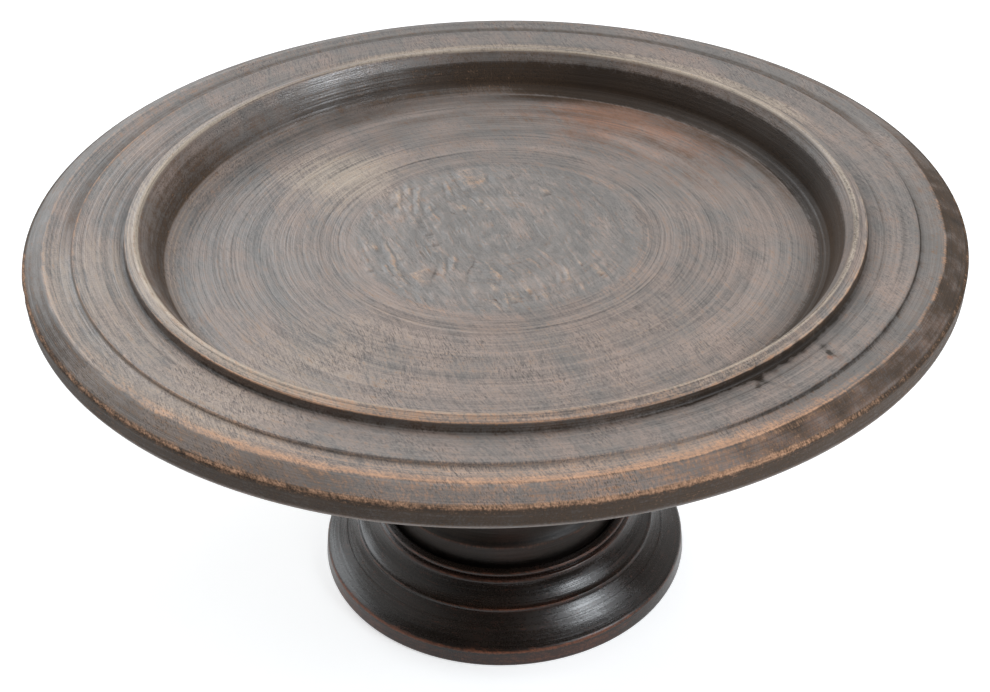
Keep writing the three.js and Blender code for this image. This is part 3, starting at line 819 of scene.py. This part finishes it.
def taper(thick, thin, bottom, top, reach, centre):
    """A flat taper across the tenon, thick end down."""
    shape = bmesh.new()
    bmesh.ops.create_cube(shape, size=1)
    bmesh.ops.scale(shape, vec=(1, 2 * reach, top - bottom), verts=shape.verts)
    bmesh.ops.translate(shape, vec=(0, 0, (top + bottom) / 2), verts=shape.verts)
    for vertex in shape.verts:
        vertex.co.x *= thin if vertex.co.z > (top + bottom) / 2 else thick
    bmesh.ops.translate(shape, vec=(centre, 0, 0), verts=shape.verts)
    return shape


wedge_offset = 6
wedge_thick = 3.2
wedge_thin = 1
wedge_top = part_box("foot_wedge_1")[1].z / mm
kerf_thick = wedge_thick + 2 * clearance
kerf_thin = wedge_thin + 2 * clearance
kerf_top = wedge_top + clearance
kerfs = [
    taper(kerf_thick, kerf_thin, tenon_end - 1, kerf_top, low_tenon + 1, side * wedge_offset)
    for side in (-1, 1)
]
sockets = [
    rod(peg_bore, peg_inner - clearance, high_tenon + 1, angle, peg_height) for angle in peg_angles
]
drilled(stem, *kerfs, *sockets)

# Foot: a thick disc turned to a flared moulding, with a socket for the stem's base, a bore for its
# tenon and a shallow recess beneath, so that it stands on an outer ring. Stained nearly black.
foot_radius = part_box("foot")[1].x / mm
collar_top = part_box("foot")[1].z / mm
edge_arris = (80.6, 7.2)
ridge = (66.7, 18.3)
ledge = (ridge[0] + 4.7, ridge[1] - 5.1)
collar_arris = (58.1, 26.5)
collar_groove = (56.2, 27.2)
collar_radius = 56.8
bore_radius = low_tenon + clearance
recess = (60, 3.5)
socket = (base_radius + clearance, stem_bottom - clearance)

outline = [(bore_radius, recess[1])]
straight(outline, recess[0] - 1.5, recess[1], 8)
bowed(outline, recess, (recess[0], recess[1] - 1.5), 0.4)
straight(outline, recess[0], 0.4, 0.8)
straight(outline, recess[0] + 0.4, 0)
straight(outline, foot_radius - 1, 0, 5)
bowed(outline, (foot_radius, 0), (foot_radius, 1), 0.3)
straight(outline, edge_arris[0] + 0.1, edge_arris[1] - 0.8, 0.6)
bowed(outline, edge_arris, (edge_arris[0] - 0.7, edge_arris[1] + 0.6), 0.25)
cove(outline, ledge, 0.35)
straight(outline, ledge[0] - 0.3, ledge[1] - 0.15, 0.3)
cove(outline, (ridge[0] + 0.1, ridge[1] - 1.2), 0.15)
straight(outline, ridge[0], ridge[1] - 0.5, 0.3)
bowed(outline, ridge, (ridge[0] - 0.6, ridge[1]), 0.25)
straight(outline, ridge[0] - 1.5, ridge[1] + 0.05, 0.4)
cove(outline, (collar_arris[0] + 0.2, collar_arris[1] - 0.9), 0.75)
bowed(outline, collar_arris, (collar_arris[0] - 0.6, collar_arris[1] + 0.2), 0.3)
straight(outline, *collar_groove, 0.5)
bowed(outline, (collar_radius, 27.6), (collar_radius, 28.4), 0.3)
bowed(outline, (collar_radius - 0.1, 29.4), (collar_radius - 0.7, collar_top), 0.3)
straight(outline, socket[0] + 2, collar_top, 0.8)
bowed(outline, (socket[0] + 1.6, 29.4), (socket[0] + 1.3, 29.0), 0.25)
straight(outline, socket[0], 27.6, 0.6)
straight(outline, *socket, 0.7)
straight(outline, bore_radius, socket[1], 8)
straight(outline, bore_radius, recess[1], 6)
outline.pop()
foot_shape = turned(outline, 200, closed=True)
for name in layer_names:
    foot_shape.verts.layers.float.new(name)
foot_worn, foot_grime_and_shade, foot_red, foot_shade, foot_tooled = (
    foot_shape.verts.layers.float[name] for name in ("worn", "grime_and_shade", "red", "shade", "tooled")
)
for vertex in foot_shape.verts:
    x, y, z = vertex.co
    spot = (math.hypot(x, y), z)
    angle = math.degrees(math.atan2(y, x))
    front = within(angle, -150, -60, 20)
    ridge_red = within(angle, -102, -68, 12)
    worn = (0.35 + 0.6 * front) * near(spot, edge_arris, 0.9)
    worn += (0.3 + 0.25 * ridge_red) * near(spot, ridge, 0.7)
    worn += 0.5 * near(spot, collar_arris, 0.5) + 0.5 * near(spot, (56.7, 29.3), 0.6)
    vertex[foot_worn] = worn + 0.15 * near(spot, ledge, 0.4)
    vertex[foot_red] = 0.8 * near(spot, (57.6, 27.5), 3) + 0.8 * ridge_red * near(spot, ridge, 2)
    if spot[0] > edge_arris[0] + 0.2:
        vertex[foot_red] = 0.9 * front
        vertex[foot_worn] += 0.3 * front
    # Dirt and painted shade darken the collar's groove and the socket round the stem.
    vertex[foot_grime_and_shade] = near(spot, (56.6, 27.3), 0.5) + near(spot, (socket[0], 27), 2.5)
    vertex[foot_shade] = 0.6
    vertex[foot_tooled] = 1.3
foot_wood = turned_wood(
    "foot_wood", cool=(0.022, 0.016, 0.012), mild=(0.034, 0.021, 0.014), stain_and_shade=(0.008, 0.005, 0.004),
    rubbed=(0.21, 0.075, 0.038), golden=(0.3, 0.2, 0.12), russet=(0.09, 0.028, 0.014),
    grain=Euler((0, 0, grain_angle + 0.6)), gloss=0.16, shine=0.48, depth=0.06,
)
placed(foot_shape, "turned_foot", foot_wood, "foot_wood", "foot")

# Pegs: three split bamboo pins, driven through the boss into the upper tenon, then trimmed just
# proud and stained with the rest.
bamboo = bpy.data.materials.new("bamboo")
bamboo.use_nodes = True
peg_surface = bamboo.node_tree.nodes["Principled BSDF"]
peg_place = add(bamboo, "TexCoord").outputs["Object"]
peg_dots = add(bamboo, "TexVoronoi", {"Vector": peg_place, "Scale": 1600}).outputs["Distance"]
peg_tone = blended(
    bamboo, spread(bamboo, peg_dots, 0.2, 0.5), (0.07, 0.035, 0.018, 1), (0.2, 0.12, 0.06, 1),
)
bamboo.node_tree.links.new(peg_tone, peg_surface.inputs["Base Color"])
peg_surface.inputs["Roughness"].default_value = 0.55
for i, angle in enumerate(peg_angles):
    shape = rod(peg_radius, peg_inner, boss_radius + 0.4, angle, peg_height)
    rims = [edge for edge in shape.edges if len(edge.link_faces) == 2 and edge.calc_face_angle() > 1]
    bmesh.ops.bevel(shape, geom=rims, offset=0.3, segments=3, profile=0.5, affect="EDGES", material=-1)
    name = "dish_peg_" + str(i + 1)
    placed(shape, "bamboo_" + name, bamboo, "bamboo", name)

# Wedges: two hardwood slips driven up into the lower tenon's kerfs, then trimmed flush with its end.
wedge_wood = bpy.data.materials.new("wedge_wood")
wedge_wood.use_nodes = True
wedge_surface = wedge_wood.node_tree.nodes["Principled BSDF"]
wedge_place = add(wedge_wood, "TexCoord").outputs["Object"]
stretch = {"Vector": wedge_place, "Scale": (2500, 2500, 200)}
wedge_grain = speckle(wedge_wood, add(wedge_wood, "Mapping", stretch).outputs[0], 1, 3)
wedge_tone = blended(
    wedge_wood, spread(wedge_wood, wedge_grain, 0.35, 0.7), (0.17, 0.09, 0.05, 1), (0.3, 0.18, 0.1, 1),
)
wedge_wood.node_tree.links.new(wedge_tone, wedge_surface.inputs["Base Color"])
wedge_surface.inputs["Roughness"].default_value = 0.6
wedge_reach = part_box("foot_wedge_1")[1].y / mm
for side, name in ((-1, "foot_wedge_1"), (1, "foot_wedge_2")):
    shape = taper(wedge_thick, wedge_thin, tenon_end, wedge_top, wedge_reach, side * wedge_offset)
    bmesh.ops.bevel(
        shape, geom=shape.edges[:], offset=0.2, segments=2, profile=0.5, affect="EDGES", material=-1,
    )
    placed(shape, "hardwood_" + name, wedge_wood, "wedge_wood", name)

# Floor and light: a plain white floor, soft light from the back and the left, a broad soft light
# at the far left, and a cool window high on the right.
bpy.ops.mesh.primitive_plane_add(size=20)
floor = bpy.context.object
floor.name = "floor"
paper = bpy.data.materials.new("paper")
paper.use_nodes = True
paper_surface = paper.node_tree.nodes["Principled BSDF"]
paper_surface.inputs["Base Color"].default_value = (0.8, 0.8, 0.8, 1)
paper_surface.inputs["Roughness"].default_value = 0.9
paper_surface.inputs["Emission Color"].default_value = (1, 1, 1, 1)
ray = add(paper, "LightPath").outputs
seen = reckon(paper, "MAXIMUM", ray["Is Camera Ray"], ray["Is Glossy Ray"])
seen = reckon(paper, "MAXIMUM", seen, ray["Is Transmission Ray"])
glow = reckon(paper, "MULTIPLY", seen, 0.5)
paper.node_tree.links.new(glow, paper_surface.inputs["Emission Strength"])
floor.data.materials.append(paper)

world = bpy.data.worlds.new("studio")
bpy.context.scene.world = world
world.use_nodes = True
sky = world.node_tree.nodes["Background"]
sky.inputs["Color"].default_value = (0.985, 0.985, 0.975, 1)
heading = add(world, "SeparateXYZ", {0: add(world, "TexCoord").outputs["Generated"]}).outputs
brightness = spread(world, heading[2], 0.0, 0.9, 0.64, 0.92)
behind = reckon(world, "MULTIPLY_ADD", heading[0], -0.5, heading[1])
behind = spread(world, behind, -0.65, 0.6, 0.05, 1.02)
brightness = reckon(world, "MULTIPLY", brightness, behind)
world.node_tree.links.new(brightness, sky.inputs["Strength"])


def lamp(name, direction, distance, width, height, power, colour):
    """A soft rectangular light that faces the tray."""
    data = bpy.data.lights.new(name, "AREA")
    data.shape = "RECTANGLE"
    data.size, data.size_y = width, height
    data.energy = power
    data.color = colour
    source = bpy.data.objects.new(name, data)
    way = Vector(direction).normalized()
    facing = way.to_track_quat("Z", "Y").to_matrix().to_4x4()
    source.matrix_world = Matrix.Translation(way * distance) @ facing
    bpy.context.scene.collection.objects.link(source)


lamp("far_light", (-0.55, 0.65, 0.6), 1.8, 1.5, 1.0, 17, (0.9, 0.955, 1))
lamp("window", (0.633, -0.366, 0.682), 1.5, 0.55, 0.55, 15, (0.9, 0.95, 1))
bpy.context.scene.view_settings.view_transform = "Standard"
